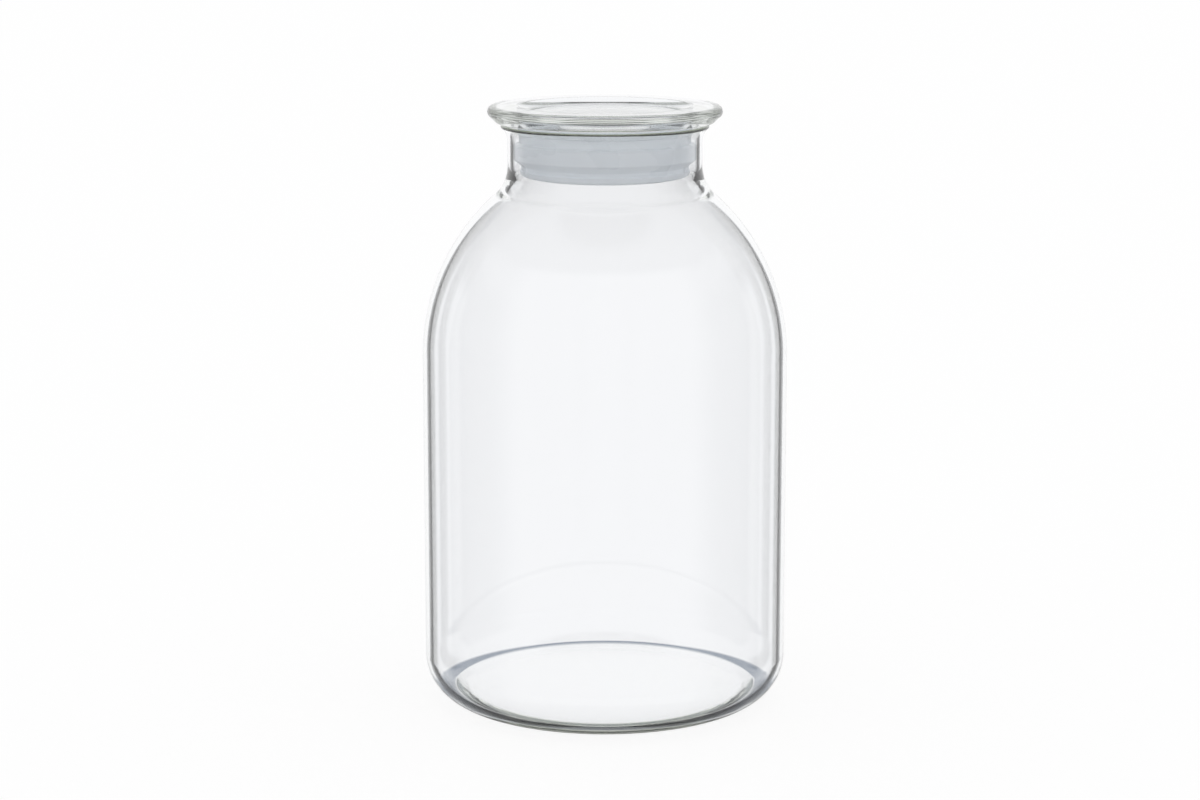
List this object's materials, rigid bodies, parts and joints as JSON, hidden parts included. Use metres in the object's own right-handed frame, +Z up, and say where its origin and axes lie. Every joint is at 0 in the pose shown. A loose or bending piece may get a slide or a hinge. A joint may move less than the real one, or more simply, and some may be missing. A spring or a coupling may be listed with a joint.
{
  "type": "glass storage jar",
  "caption": "Tall clear glass storage jar with a round shoulder and short flared neck, closed by a hollow glass stopper lid in a ribbed silicone sealing sleeve.",
  "frame": {"origin": "centre of the flat base, on the surface the jar stands on", "axes": "+Z up along the jar's axis of symmetry, from the base towards the lid"},
  "size_m": [0.165, 0.165, 0.2728],
  "materials": {
    "jar_glass": "clear, smooth, polished",
    "lid_glass": "clear, smooth, faint green at thick edges",
    "seal_silicone": "translucent grey-white, satin"
  },
  "bodies": {
    "jar": {"glass_jar": "jar_glass"},
    "seal": {"silicone_seal": "seal_silicone"},
    "lid": {"glass_lid": "lid_glass"}
  },
  "joints": [
    {"name": "seal_lift", "type": "slide", "parent": "jar", "child": "seal", "axis": [0, 0, 1], "range_m": [0, 0.05]},
    {"name": "lid_pull", "type": "slide", "parent": "seal", "child": "lid", "axis": [0, 0, 1], "range_m": [0, 0.034]}
  ]
}
